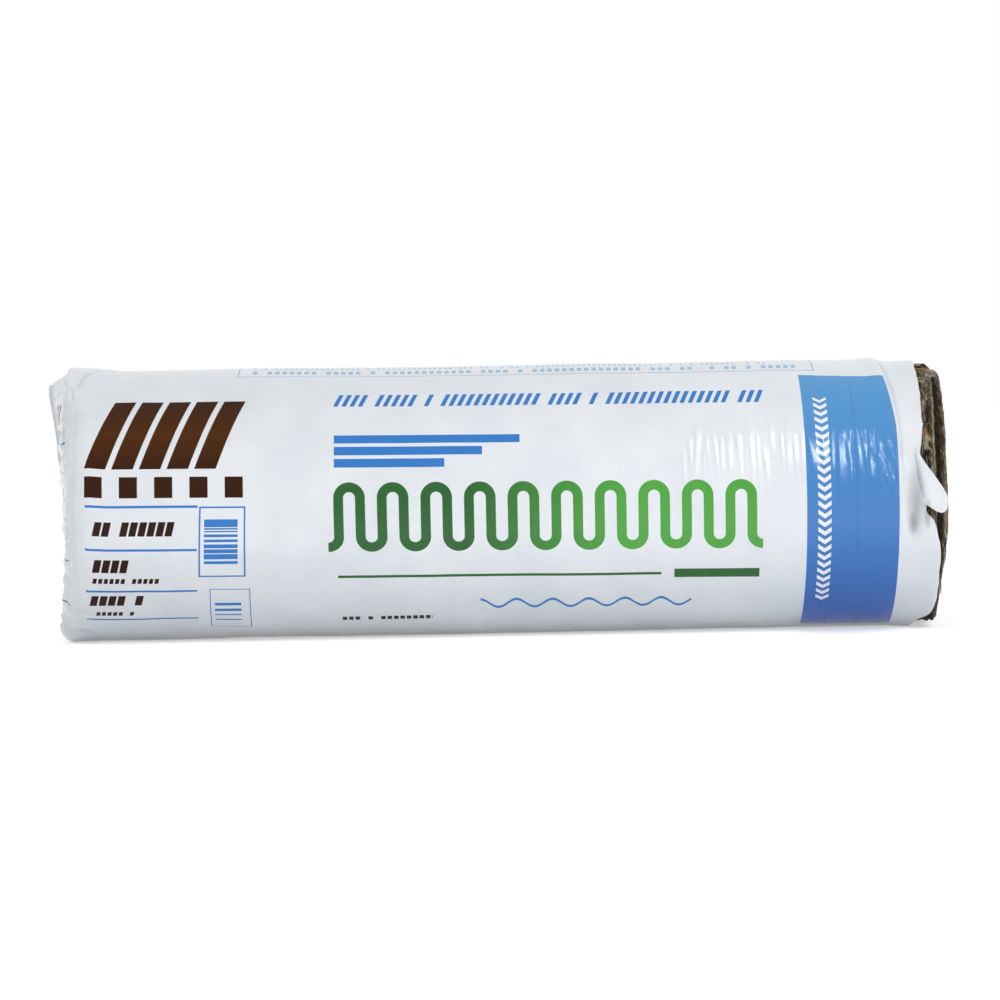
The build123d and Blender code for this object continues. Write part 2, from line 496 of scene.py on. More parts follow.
def kraft_material():
    nodes = Nodes("kraft")
    place = nodes.add("ShaderNodeTexCoord").outputs["Object"]
    pulp = nodes.noise(nodes.scaled(place, (120.0, 500.0, 500.0)), 1.0, 4.0, 0.6)
    nodes.shade("Base Color", nodes.mix(nodes.ramp(pulp, 0.3, 0.7), kraft_dark, kraft_light))
    nodes.shade("Roughness", 0.85)
    nodes.shade("Normal", nodes.bump(pulp, 0.3, 0.0005))
    return nodes.material


film_look = film_material()
wool_look = wool_material()
kraft_look = kraft_material()

# Film bag

# Sealed end: corner sizes, and how far its seam stands out at shares of its height
corner_sizes = {"front": 0.030, "top": 0.005, "bottom": 0.016}
seam_top_drop = 0.0205
shoulder_setback = 0.010
foot_bulge = 0.005
ridge_heights = (0.00, 0.06, 0.11, 0.16, 0.21, 0.31, 0.41, 0.51, 0.61, 0.71, 0.76, 0.86, 0.91, 0.96, 1.00)
ridge_reaches = (0.012, 0.0105, 0.007, 0.008, 0.006, 0.0035, 0.0055, 0.0075, 0.0110, 0.0155, 0.0157,
                 0.0200, 0.0228, 0.0252, 0.0252)
fin_width = 0.004
fin_gap = 0.0004
floor_gap = 0.0004
print_skew = 0.010
print_rise = 0.006
end_print_start = -0.8154
print_drift = 0.06
closed_end_flare = 0.006
rim_round = 0.010
rim_turn = math.radians(75)
# Torn edge: places round the bag (s) and how far the film reaches past the rim there
edge_places = (-0.289, -0.254, -0.230, -0.208, -0.181, -0.150, -0.082, -0.053, -0.030, -0.022, 0.064,
               0.099, 0.142, 0.289, 0.424, 0.560, 0.713, 0.860, 1.001, 1.136)
edge_reaches = (-0.020, -0.022, -0.017, -0.004, 0.010, 0.012, 0.006, 0.002, -0.004, -0.012, -0.020,
                -0.015, -0.016, -0.020, -0.020, -0.012, -0.006, -0.002, -0.010, -0.020)


def section(s):
    """y, z and outward normal of the bag's section, s up and round from the middle of its front."""
    s = np.mod(s + quarter, perimeter) - quarter
    front = s / radius
    back = (s - quarter - flat) / radius
    conditions = [s <= quarter, s <= quarter + flat, s <= 3 * quarter + flat]
    y = np.select(conditions, [-half_flat - radius * np.cos(front), s - quarter - half_flat,
                               half_flat + radius * np.sin(back)], 3 * quarter + flat + half_flat - s)
    heights = [radius + radius * np.sin(front), 2 * radius, radius + radius * np.cos(back)]
    z = np.select(conditions, heights, 0)
    normal_y = np.select(conditions, [-np.cos(front), 0, np.sin(back)], 0)
    normal_z = np.select(conditions, [np.sin(front), 1, np.cos(back)], -1)
    return y, z, normal_y, normal_z


def crease_offset(x, s, start, end):
    """Distance from a line on the film, and a window that fades at its two ends."""
    run = np.array(end) - np.array(start)
    length = np.hypot(*run)
    along = ((x - start[0]) * run[0] + (s - start[1]) * run[1]) / length
    across = ((x - start[0]) * run[1] - (s - start[1]) * run[0]) / length
    fade = 0.15 * length
    window = smoothstep(-fade, fade, along) * smoothstep(length + fade, length - fade, along)
    return across, window


# Folds on the front of the film: start and end (x, s), height, width
front_folds = (
    ((-0.5754, -0.190), (-0.5714, 0.168), -0.0014, 0.0020),
    ((-0.580, 0.182), (-0.578, 0.166), -0.0040, 0.0022),
    ((-0.602, 0.190), (-0.597, 0.252), -0.0066, 0.0030),
    ((-0.562, 0.192), (-0.555, 0.250), 0.0026, 0.0040),
    ((-0.574, 0.196), (-0.566, 0.246), -0.0062, 0.0036),
    ((-0.590, 0.186), (-0.586, 0.246), 0.0030, 0.0050),
    ((-0.560, 0.262), (-0.525, 0.272), -0.0018, 0.003),
    ((-0.540, 0.240), (-0.490, 0.252), -0.0014, 0.003),
    ((-0.604, -0.146), (-0.566, -0.160), -0.0034, 0.0034),
    ((-0.604, -0.206), (-0.560, -0.214), -0.0030, 0.004),
    ((0.538, 0.030), (0.534, -0.050), -0.0026, 0.006),
    ((0.546, 0.016), (0.544, -0.040), 0.0022, 0.004),
    ((0.556, -0.012), (0.554, -0.042), -0.0024, 0.004),
    ((0.462, 0.187), (0.462, -0.090), -0.0014, 0.0020),
    ((0.506, 0.072), (0.519, 0.034), 0.0010, 0.002),
    ((0.499, 0.070), (0.515, 0.024), -0.0008, 0.002),
    ((0.494, 0.010), (0.518, 0.026), 0.0009, 0.002),
    ((0.500, -0.010), (0.519, 0.020), 0.0011, 0.002),
    ((0.508, -0.022), (0.520, 0.012), -0.0009, 0.002),
    ((0.486, 0.066), (0.508, 0.014), 0.0007, 0.002),
    ((0.524, 0.052), (0.540, 0.004), 0.0012, 0.004),
)
tuck_line = ((0.506, 0.289), (0.512, 0.209), (0.517, 0.152), (0.520, 0.105), (0.520, 0.066))
short_wrinkles = 22
tuck_height = 0.0022
tuck_groove = 0.0044


def place_tight_wrinkles():
    """Middle, level, reach, width, lean and steepness of each wrinkle beside the open end."""
    draws = np.random.RandomState(17)
    wrinkles = []
    place = 0.235
    while place < 0.520:
        on_band = place >= 0.40
        width = 0.0060 + 0.0070 * draws.rand() if on_band else 0.0034 + 0.0046 * draws.rand()
        level = 0.058 + 0.014 * draws.randn()
        reach = 0.030 + 0.030 * draws.rand()
        lean = -0.04 + 0.06 * draws.randn()
        steepness = 0.97 + 0.08 * draws.rand() if on_band else 0.90 + 0.22 * draws.rand()
        wrinkles.append((place, level, reach, width, lean, steepness))
        place += 1.20 * width + (0.001 if on_band else 0.008) * draws.rand() ** 2
    return wrinkles


tight_wrinkles = place_tight_wrinkles()


def film_offset(x, s, y, z):
    """How far the film stands off its smooth shape."""
    soft = 0.0010 * noise(x / 0.11, y / 0.09, z / 0.09, 1) + 0.0004 * noise(x / 0.035, y / 0.03, z / 0.03, 2)
    calm = 0.6 * smoothstep(0.22, 0.30, x) + 0.32 * smoothstep(0.38, 0.42, x)
    soft = soft * (1 - calm * smoothstep(0.13, 0.10, np.abs(s - 0.05)))
    # Gathers that run in from the sealed end
    near_seal = smoothstep(left_end + 0.085, left_end + 0.020, x)
    gathers = noise(x / 0.08, y / 0.020, z / 0.020, 3)
    puckers = 0.35 - np.abs(noise(x / 0.10, y / 0.030, z / 0.017, 14))
    near_corner = smoothstep(left_end + 0.060, left_end + 0.015, x)
    offset = soft + 0.0012 * near_seal * gathers + 0.0085 * near_corner * puckers
    # Tight wrinkles beside the open end, each with one long flank that faces right
    for middle, level, reach, width, lean, steepness in tight_wrinkles:
        across = x - middle - lean * (s - level)
        profile = smoothstep(-0.3 * width, 0, across) * np.clip(1 - across / width, 0, 1)
        window = smoothstep(reach, 0.55 * reach, np.abs(s - level))
        flank_slope = 0.107 + 0.26 * (0.45 - middle)
        offset = offset + steepness * flank_slope * width * profile * window
    # Short wrinkles low on the front
    draws = np.random.RandomState(7)
    for _ in range(short_wrinkles):
        middle = -0.50 + 1.0 * draws.rand()
        level = -0.215 + 0.02 * draws.randn()
        height = 0.0003 + 0.0006 * draws.rand()
        width = 0.0025 + 0.002 * draws.rand()
        hill = np.exp(-(((x - middle - 0.1 * draws.randn() * (s - level)) / width) ** 2))
        offset = offset + height * hill * bump(s - level, 0.03 + 0.03 * draws.rand())
    for start, end, height, width in front_folds:
        across, window = crease_offset(x, s, start, end)
        offset = offset + height * window * np.exp(-((across / width) ** 2))
    # The tuck beside the band: the layer on its left ends in a step
    tuck_x, tuck_s = np.array(tuck_line)[::-1].T
    past = x - np.interp(s, tuck_s, tuck_x)
    step = smoothstep(-0.030, -0.001, past) * smoothstep(0.0012, -0.0006, past)
    groove = np.exp(-(((past - 0.0026) / 0.0022) ** 2))
    tuck_window = smoothstep(0.030, 0.075, s) * smoothstep(0.36, 0.28, s)
    offset = offset + (tuck_height * step - tuck_groove * groove) * tuck_window
    # Loose film round the open end
    near_open = smoothstep(0.515, 0.550, x)
    offset = offset + near_open * (0.0012 * noise(x / 0.03, y / 0.026, z / 0.026, 5) + 0.0006)
    return offset


def film_grid():
    s = np.concatenate((
        np.linspace(-quarter, quarter, 150, endpoint=False),
        np.linspace(quarter, quarter + flat, 16, endpoint=False),
        np.linspace(quarter + flat, 3 * quarter + flat, 44, endpoint=False),
        np.linspace(3 * quarter + flat, perimeter - quarter, 12, endpoint=False),
    ))
    y0, z0, ny, nz = section(s)
    height_share = z0 / (2 * radius)
    round_top = smoothstep(0.80, 1.0, height_share)
    round_bottom = smoothstep(0.20, 0.0, height_share)
    corner = corner_sizes["front"] * (1 - round_top - round_bottom)
    corner = corner + corner_sizes["top"] * round_top + corner_sizes["bottom"] * round_bottom

    rows, prints, end_shares = [], [], []
    shoulder = shoulder_setback * round_top - foot_bulge * round_bottom
    corner_x = sealed_end_x(y0) + corner + shoulder
    inner_y, inner_z = y0 - corner * ny, z0 - corner * nz
    seal_u = corner_x - corner * math.pi / 2 - np.abs(inner_y)
    gather = noise(0.5, y0 / 0.022, z0 / 0.022, 7)
    pleat = 0.45 - np.abs(noise(0.4, y0 / 0.026, z0 / 0.026, 12))
    pleat = pleat - 0.2 * np.abs(noise(0.6, y0 / 0.014, z0 / 0.014, 13))

    # Each point of the rim has its place on the upright seam; top and bottom are drawn in to its two ends
    half_span = quarter + half_flat
    run = np.mod(s + half_span, perimeter) - half_span
    side = np.where(run <= half_span, -1.0, 1.0)
    climb = np.where(run <= half_span, run, 2 * half_span - run) / half_span
    seam_share = 0.5 + 0.5 * np.sin(climb * math.pi / 2)
    seam_z = inner_z.min() + (2 * radius - seam_top_drop - inner_z.min()) * seam_share

    # Narrow sealed fin, then the end of the bag, drawn out to the fin from the rounded corner
    ridge = np.interp(seam_share, ridge_heights, ridge_reaches)
    seam_wave = 0.0026 * noise(0.2, 0.3, seam_z / 0.060, 8)
    for share in (1.0, 0.5):
        wave = seam_wave + 0.0006 * share * noise(0.2, 0.3, seam_z / 0.024, 9)
        x = left_end - ridge - fin_width * (share - 1)
        rows.append(np.stack((x, wave + side * fin_gap, seam_z), -1))
        prints.append(seal_u - fin_width * share)
        end_shares.append(1.0)
    for share in np.linspace(1.0, 0.0, 26, endpoint=False):
        y = inner_y * (1 - share) + side * fin_gap * share + seam_wave * share**4
        z = inner_z * (1 - share) + seam_z * share
        crease = 0.0006 * gather * share + 0.0085 * (pleat - 0.16) * math.sin(math.pi * share**0.7)
        swell = (ridge - fin_width) * share ** (1.6 - 0.6 * round_top) + crease * (1 - share**6)
        rows.append(np.stack((sealed_end_x(y) - swell + shoulder * (1 - share) ** 2, y, z), -1))
        prints.append(seal_u + np.abs(inner_y) * (1 - share))
        end_shares.append(1.0)
    # Rounded corner
    for turn in np.linspace(math.pi / 2, 0, 18, endpoint=False):
        inset = corner * (1 - math.cos(turn))
        y, z = y0 - inset * ny, z0 - inset * nz
        x = sealed_end_x(y) + corner * (1 - math.sin(turn)) + shoulder
        u = corner_x - corner * turn
        end_shares.append(smoothstep(0, math.pi / 2, turn))
        offset = film_offset(u, s, y0, z0) + (0.0010 * gather + 0.0012 * pleat) * turn
        out = np.stack((np.full(s.shape, -math.sin(turn)), math.cos(turn) * ny, math.cos(turn) * nz), -1)
        rows.append(np.stack((x, y, z), -1) + offset[:, None] * out)
        prints.append(u)
    # Long sides
    shared_start, shared_end = left_end + 0.075, 0.528
    stations = np.concatenate((np.linspace(shared_start, 0.20, 112, endpoint=False),
                               np.linspace(0.20, 0.38, 108, endpoint=False),
                               np.linspace(0.38, shared_end, 108)))
    shares = np.linspace(0, 1, 12, endpoint=False)
    approach = [corner_x + (shared_start - corner_x) * share for share in shares]
    out = np.stack((0 * s, ny, nz), -1)
    for x in approach + [np.full(s.shape, station) for station in stations]:
        rows.append(np.stack((x, y0, z0), -1) + film_offset(x, s, y0, z0)[:, None] * out)
        prints.append(x)
    # Round the rim of the open end, as far as the torn edge
    dome_x = right_end - (y0**2 + (z0 - radius) ** 2) / (2 * dome_radius) - low_tuck(z0 - radius)
    rim_x = dome_x - rim_round
    reach = np.interp(s, edge_places, edge_reaches) + 0.0016 * noise(0.3, y0 / 0.012, z0 / 0.012, 10)
    flutter = noise(0.7, y0 / 0.022, z0 / 0.022, 11)
    for share in np.linspace(0, 1, 31)[1:]:
        distance = share * (rim_x + reach - shared_end)
        past = shared_end + distance - rim_x
        turn = np.clip(past / rim_round, 0, rim_turn)
        beyond = np.maximum(past - rim_round * rim_turn, 0)
        u = shared_end + distance
        x = np.where(past < 0, u, rim_x + rim_round * np.sin(turn) + beyond * math.cos(rim_turn))
        inset = rim_round * (1 - np.cos(turn)) + beyond * math.sin(rim_turn)
        out = np.stack((np.sin(turn), np.cos(turn) * ny, np.cos(turn) * nz), -1)
        offset = film_offset(u, s, y0, z0) + 0.0016 * share**3 * (flutter + 0.6)
        rows.append(np.stack((x, y0 - inset * ny, z0 - inset * nz), -1) + offset[:, None] * out)
        prints.append(u)
    points = np.array(rows)
    end_shares += [0.0] * (len(rows) - len(end_shares))
    x, z = points[..., 0], points[..., 2]
    lift = 0.4 * smoothstep(-0.10, -0.45, x) + 0.6 * smoothstep(-0.520, -0.560, x)
    z = z + closed_end_flare * lift * z / (2 * radius) - top_dip(x, z)
    points[..., 2] = np.maximum(z, floor_gap)
    return s, points, np.array(prints), np.array(end_shares)[:, None, None]


def print_place(along, level):
    """Place on the print, which leans a little and drifts towards the sealed end low on the front."""
    drift = print_drift * np.minimum(level, 0) * smoothstep(-0.20, -0.45, along)
    return np.stack((along - drift, level + print_skew * along - print_rise), -1)


def make_film():
    s, points, prints, end_shares = film_grid()
    row_count, ring = points.shape[:2]
    place = np.arange(row_count * ring).reshape(row_count, ring)
    following = np.roll(place, -1, axis=1)
    faces = np.stack((place[1:], following[1:], following[:-1], place[:-1]), -1).reshape(-1, 4)
    # The back half carries the same print again, turned to read from behind
    behind = quarter + half_flat
    levels = np.stack((s, np.append(s[1:], s[0] + perimeter)), -1)
    turned = ((s > behind) & (s < behind + perimeter / 2))[:, None]
    wrapped = np.where(s[:, None] >= behind, levels - perimeter, levels)
    levels = np.where(turned, perimeter / 2 - levels, wrapped)
    way = np.where(turned, -1.0, 1.0)
    # The sealed end carries its print flat, and the corner leads over to it
    end_along = end_print_start + np.abs(points[..., 1])
    end_height = (points[..., 2] - radius) / (radius - corner_sizes["front"])
    end_level = radius * np.arcsin(np.clip(end_height, -1, 1))
    pairs = [np.stack((value, np.roll(value, -1, axis=1)), -1) for value in (prints, end_along, end_level)]
    along, end_along, end_level = pairs
    along = (along + (end_along - along) * end_shares) * way
    levels = levels + (end_level - levels) * end_shares
    corners = ((slice(1, None), 0), (slice(1, None), 1), (slice(None, -1), 1), (slice(None, -1), 0))
    loops = [print_place(along[rows, :, end], levels[rows, :, end]) for rows, end in corners]
    film = mesh_object("film_bag_sheet", points.reshape(-1, 3), faces.tolist(), film_look)
    layer = film.data.uv_layers.new(name="print")
    layer.data.foreach_set("uv", np.stack(loops, 2).ravel())
    return film


def make_flap():
    """Torn tongue of film that hangs out of the open end."""
    along, across = np.meshgrid(np.linspace(0, 1, 34), np.linspace(0, 1, 30), indexing="ij")
    shares = (0.0, 0.3, 0.6, 0.85, 0.95, 1.0)
    high_x = np.interp(along, shares, (0.541, 0.5545, 0.567, 0.5775, 0.5815, 0.5830))
    high_z = np.interp(along, shares, (0.064, 0.042, 0.0245, 0.0090, 0.0020, -0.003))
    low_x = np.interp(along, shares, (0.548, 0.557, 0.568, 0.5750, 0.5800, 0.5830))
    low_z = np.interp(along, shares, (-0.008, -0.0140, -0.0210, -0.0232, -0.0210, -0.0165))
    x = low_x + (high_x - low_x) * across
    z = low_z + (high_z - low_z) * across
    front = -half_flat - np.sqrt(radius**2 - z**2)
    fold = 0.0055 * bump(along - 0.12, 0.16) * np.sin(math.pi * np.clip(1.1 - across, 0, 1))
    belly = 0.006 * np.sin(math.pi * along**0.8) * np.sin(math.pi * (0.15 + 0.7 * across))
    curl = 0.007 * along**2
    crumple = 0.0022 * noise(x / 0.012, along, z / 0.012, 21)
    crumple = crumple + 0.0010 * noise(x / 0.005, along, z / 0.006, 22)
    y = front - 0.0022 - fold - belly + curl + crumple * along**0.5
    points = np.stack((x, y, z + radius), -1).reshape(-1, 3)
    flap = mesh_object("film_torn_flap", points, grid_quads(*along.shape), film_look)
    layer = flap.data.uv_layers.new(name="print")
    loop_points = [flap.data.vertices[loop.vertex_index].co for loop in flap.data.loops]
    layer.data.foreach_set("uv", np.array([(point.x, point.z - radius) for point in loop_points]).ravel())
    return flap


# Batts

stack_radius = radius - 0.0014
batt_inset = 0.0035
cap_pitch = 0.0018
fuzz_depth = 0.066
fuzz_rings = 20
cap_strands = 1300
side_strands_per_place = 4
strand_steps = 4
strand_gap = 0.004
end_height_share = 0.6
extra_setbacks = (0.007, 0.0, 0.002, 0.0, 0.0, 0.002, 0.0, 0.003)
top_setbacks = (0.0, 0.0, 0.010, 0.008, 0.008, 0.009, 0.008, 0.008)
end_dips = (0.0, 0.007, 0.0, 0.0, 0.0, 0.0, 0.0, 0.0)
sealed_corner = 0.030
sealed_gap = 0.009
facing_shift = 0.0008
facing_half = 0.0003
facing_height_share = 0.985


def layer_y(share, z):
    """Line between two batts, straight in the middle of the stack and bowed towards front and back."""
    bow = 1 - (z / stack_radius) ** 2
    return share * half_depth * (edge_squeeze + (1 - edge_squeeze) * bow)


def side_line(share, levels):
    """Points up one broad side of a batt, in the middle plane's heights."""
    face_angle = math.radians(60)
    if abs(share) > 0.99:
        angle = face_angle * levels
        reach = stack_radius - batt_inset
        return np.sign(share) * (half_flat + reach * np.cos(angle)), reach * np.sin(angle)
    top = np.linspace(0, stack_radius, 400)
    y = np.abs(layer_y(share, top))
    room = (stack_radius - batt_inset) ** 2 - np.maximum(y - half_flat, 0) ** 2
    reach = top[np.searchsorted(-(room - top**2), 0) - 1]
    z = reach * levels
    return layer_y(share, z), z


def strand_mesh(roots, headings, bends, lengths, widths):
    """Points and faces of thin three-sided strands that taper to their free ends."""
    shares = np.linspace(0, 1, strand_steps + 1)[None, :, None]
    headings = headings / np.linalg.norm(headings, axis=1)[:, None]
    curves = shares * headings[:, None] + 0.5 * shares**2 * bends[:, None]
    lines = roots[:, None] + lengths[:, None, None] * curves
    across = np.cross(headings, (0.3, 0.9, 0.1))
    across /= np.linalg.norm(across, axis=1)[:, None]
    other = np.cross(headings, across)
    tapers = widths[:, None, None] * (1 - 0.6 * shares)
    turns = [math.radians(120 * corner) for corner in range(3)]
    rings = [lines + tapers * (math.cos(turn) * across + math.sin(turn) * other)[:, None] for turn in turns]
    points = np.stack(rings, 2)
    places = np.arange(points[..., 0].size).reshape(points.shape[:3])
    after = np.roll(places, -1, axis=2)
    faces = np.stack((places[:, :-1], after[:, :-1], after[:, 1:], places[:, 1:]), -1)
    return points.reshape(-1, 3), faces.reshape(-1, 4)


def make_batt(index):
    count = len(batt_names)
    name = f"batt_{index + 1}"
    front_share, back_share = 2 * index / count - 1, 2 * (index + 1) / count - 1
    high = np.array(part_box(name)[1])
    thickness = half_depth * 2 / count
    across_count = max(10, round(thickness * 0.8 / cap_pitch))
    level_count = round(2 * stack_radius / cap_pitch)
    levels = np.linspace(-1, 1, level_count + 1)
    front_y, front_z = side_line(front_share, levels)
    back_y, back_z = side_line(back_share, levels)
    margin = 0.0012 / thickness
    across = np.linspace(margin, 1 - margin, across_count + 1)
    y = front_y + (back_y - front_y) * across[:, None]
    z = front_z + (back_z - front_z) * across[:, None]
    step = right_end - dome_drop(front_share, back_share) - high[0]
    end = right_end - step - (y**2 + end_height_share * z**2) / (2 * dome_radius) - low_tuck(z)
    end = end - extra_setbacks[index % len(extra_setbacks)]
    end = end - top_setbacks[index % len(top_setbacks)] * smoothstep(0.09, 0.15, z)
    depth = across[:, None] * thickness + 0.0016 * noise(0.1, y / 0.05, z / 0.03, 31 + index)
    layers = noise(depth / 0.0045, z / 0.060, index + 0.5, 41)
    layers = layers + 0.6 * noise(depth / 0.0026, z / 0.030, index + 0.5, 42)
    tufts = noise(0.3, y / 0.006, z / 0.016, 43 + index) + 0.7 * noise(0.6, y / 0.0034, z / 0.008, 44 + index)
    split = smoothstep(0.20, 0.0, np.abs(noise(depth / 0.0085, z / 0.09, index + 0.5, 45)))
    relief = 0.0020 * layers + 0.0010 * tufts - 0.0036 * split
    rim = np.minimum(np.minimum(across - margin, 1 - margin - across)[:, None] * thickness,
                     (1 - np.abs(levels))[None, :] * stack_radius)
    rounding = 0.003 * (1 - smoothstep(0, 0.005, rim)) ** 2
    cap_x = end + relief - rounding - 0.002

    # Loop round the cap, front side up, over the top, back side down and along the bottom
    loop_rows, loop_columns = rim_loop(across_count + 1, level_count + 1)
    loop_size = len(loop_rows)
    loop_y, loop_z = y[loop_rows, loop_columns], z[loop_rows, loop_columns]
    loop_x = cap_x[loop_rows, loop_columns]
    middle_y = loop_y.mean()
    buried = (loop_rows == 0) & (index > 0) | (loop_rows == across_count) & (index < count - 1)
    lying = ((loop_columns == 0) | (loop_columns == level_count)) & (0 < index < count - 1)
    columns = level_count + 1
    points = [np.stack((cap_x, y, z + radius), -1).reshape(-1, 3)]
    # Cap tone: paler on raised layers and tufts, partly painted light, and painted shade in the gaps between
    # layers
    tone_and_shade_values = [np.clip(0.7 * layers + 0.5 * tufts - 0.1 - 1.0 * split, -1, 0.6).ravel()]
    faces = grid_quads(across_count + 1, columns)
    ring = loop_rows * columns + loop_columns
    start = y.size
    rings = []
    pull = np.maximum(np.hypot(loop_y - middle_y, loop_z), 0.02)
    for depth_in in np.linspace(0.003, fuzz_depth, fuzz_rings):
        x = loop_x - depth_in
        upright = noise(x / 0.0065, loop_y / 0.006, loop_z / 0.040, 51 + index)
        upright = upright + 0.6 * noise(x / 0.0045, loop_y / 0.004, loop_z / 0.016, 52 + index)
        level = noise(x / 0.035, loop_y / 0.0050, 0.5, 53 + index)
        level = level + 0.5 * noise(x / 0.012, loop_y / 0.0036, 0.5, 54 + index)
        dent = 0.0013 * np.where(lying, level, upright)
        dent = dent + 0.0010 - 0.0035 * smoothstep(0.566, 0.574, x) * smoothstep(-0.10, -0.05, loop_z)
        dent = dent + 0.0045 * smoothstep(0.022, 0.002, depth_in) * smoothstep(-0.02, -0.06, loop_z)
        shrink = 1 - dent / pull
        rings.append((x, middle_y + (loop_y - middle_y) * shrink, loop_z * shrink))
        # Side tone: painted shade on faces hidden between batts and in dents, painted light where the wool
        # bulges out
        tone_and_shade_values.append(np.where(buried, -0.85, np.clip(-0.15 - (dent - 0.0010) / 0.0011, -1, 0.6)))
    for station in (0.40, 0.10, -0.20, -0.50):
        rings.append((np.full(loop_y.shape, station), loop_y, loop_z))
        tone_and_shade_values.append(np.zeros(loop_y.shape))
    for turn in np.radians((0, 30, 60, 85)):
        inset = sealed_corner * (1 - math.cos(turn))
        ring_y = loop_y * (1 - inset / half_depth)
        x = sealed_end_x(ring_y) + sealed_gap + sealed_corner * (1 - math.sin(turn))
        rings.append((x, ring_y, loop_z * (1 - inset / radius)))
        tone_and_shade_values.append(np.zeros(loop_y.shape))
    for x, ring_y, ring_z in rings:
        points.append(np.stack((x, ring_y, ring_z + radius), -1))
        following = start + np.arange(loop_size)
        faces += np.stack((ring, np.roll(ring, -1), np.roll(following, -1), following), -1).tolist()
        ring = following
        start += loop_size
    faces.append(ring.tolist())
    points, tone_and_shade_values = np.concatenate(points), np.concatenate(tone_and_shade_values)

    # Loose fibres, most of them lying up and down along the layers
    draws = np.random.RandomState(100 + index)
    rows = draws.randint(1, across_count, cap_strands)
    columns_used = draws.randint(4, level_count - 3, cap_strands)
    cap_y, cap_z = y[rows, columns_used], z[rows, columns_used]
    cap_roots = np.stack((cap_x[rows, columns_used] + 0.0003, cap_y, cap_z + radius), -1)
    free_height = (0.8 if 0 < index < count - 1 else 0.15) * np.max(np.abs(cap_z))
    way = np.where(np.abs(cap_z) > free_height, -np.sign(cap_z), draws.choice((-1.0, 1.0), cap_strands))
    slope = -end_height_share * cap_z / dome_radius
    lean = 0.10 * draws.rand(cap_strands)
    inward = (index == 0) * 1.0 - (index == count - 1) * 1.0
    drift = 0.14 * draws.randn(cap_strands)
    drift = np.where(inward == 0, drift, inward * np.abs(drift))
    cap_headings = np.stack((way * slope + lean, drift, way), -1)

    shown = np.flatnonzero(~buried)
    side_count = side_strands_per_place * len(shown)
    places = shown[draws.randint(0, len(shown), side_count)]
    ring_stack = np.array(rings[:fuzz_rings // 2])
    side_roots = ring_stack[draws.randint(0, len(ring_stack), side_count), :, places]
    outward = np.stack((0 * pull, loop_y - middle_y, loop_z), -1)[places] / pull[places, None]
    lift = 0.0004 - 0.0030 * smoothstep(-0.02, -0.05, side_roots[:, 2:])
    side_roots = side_roots + lift * outward + np.array((0, 0, radius))
    along_y, along_z = (np.roll(value, -1) - np.roll(value, 1) for value in (loop_y, loop_z))
    tangent = np.stack((0 * loop_y, along_y, along_z), -1)
    tangent /= np.linalg.norm(tangent, axis=1)[:, None]
    side_way = draws.choice((-1.0, 1.0), side_count)[:, None]
    scatter = draws.randn(side_count)[:, None]
    upright_heading = side_way * tangent[places] + 0.16 * scatter * np.array((1.0, 0, 0))
    level_heading = np.array((-1.0, 0, 0)) + 0.3 * scatter * np.array((0, 1.0, 0))
    side_headings = np.where(lying[places, None], level_heading, upright_heading)

    roots = np.concatenate((cap_roots, side_roots))
    headings = np.concatenate((cap_headings, side_headings))
    strand_count = len(roots)
    bends = np.array((0.10, 0.30, 0.10)) * draws.randn(strand_count, 3) - np.array((0.12, 0, 0))
    away = np.concatenate((np.zeros(cap_roots.shape) + np.array((0, -inward, 0)), outward))
    bends = bends - away * np.maximum(np.sum(bends * away, axis=1), 0)[:, None]
    lengths = 0.006 + 0.016 * draws.rand(strand_count) ** 1.5
    widths = 0.00022 + 0.00060 * draws.rand(strand_count) ** 2
    clump = noise(roots[:, 0] / 0.006, roots[:, 1] / 0.006, roots[:, 2] / 0.030, 81 + index)
    strand_tones = np.clip(0.20 + 1.1 * clump + 0.40 * draws.randn(strand_count), -1, 1)
    strand_points, strand_faces = strand_mesh(roots, headings, bends, lengths, widths)
    strand_points[:, 2] = np.clip(strand_points[:, 2], strand_gap, 2 * radius - strand_gap)
    strand_tones = np.repeat(strand_tones, 3 * (strand_steps + 1))
    faces += (strand_faces + len(points)).tolist()
    points = np.concatenate((points, strand_points))
    points[:, 2] -= top_dip(points[:, 0], points[:, 2])
    dip = end_dips[index % len(end_dips)] * smoothstep(0.550, 0.572, points[:, 0])
    points[:, 2] -= dip * smoothstep(1.0 * radius, 1.9 * radius, points[:, 2])
    piece = mesh_object(f"{name}_wool", points, faces, wool_look)
    layer = piece.data.attributes.new("tone_and_shade", "FLOAT", "POINT")
    layer.data.foreach_set("value", np.concatenate((tone_and_shade_values, strand_tones)))
    return piece


def dome_drop(front_share, back_share):
    """How far the domed end falls back at the batt's innermost side."""
    inner = 0.0 if front_share < 0 < back_share else min(abs(front_share), abs(back_share)) * half_depth
    return inner**2 / (2 * dome_radius)


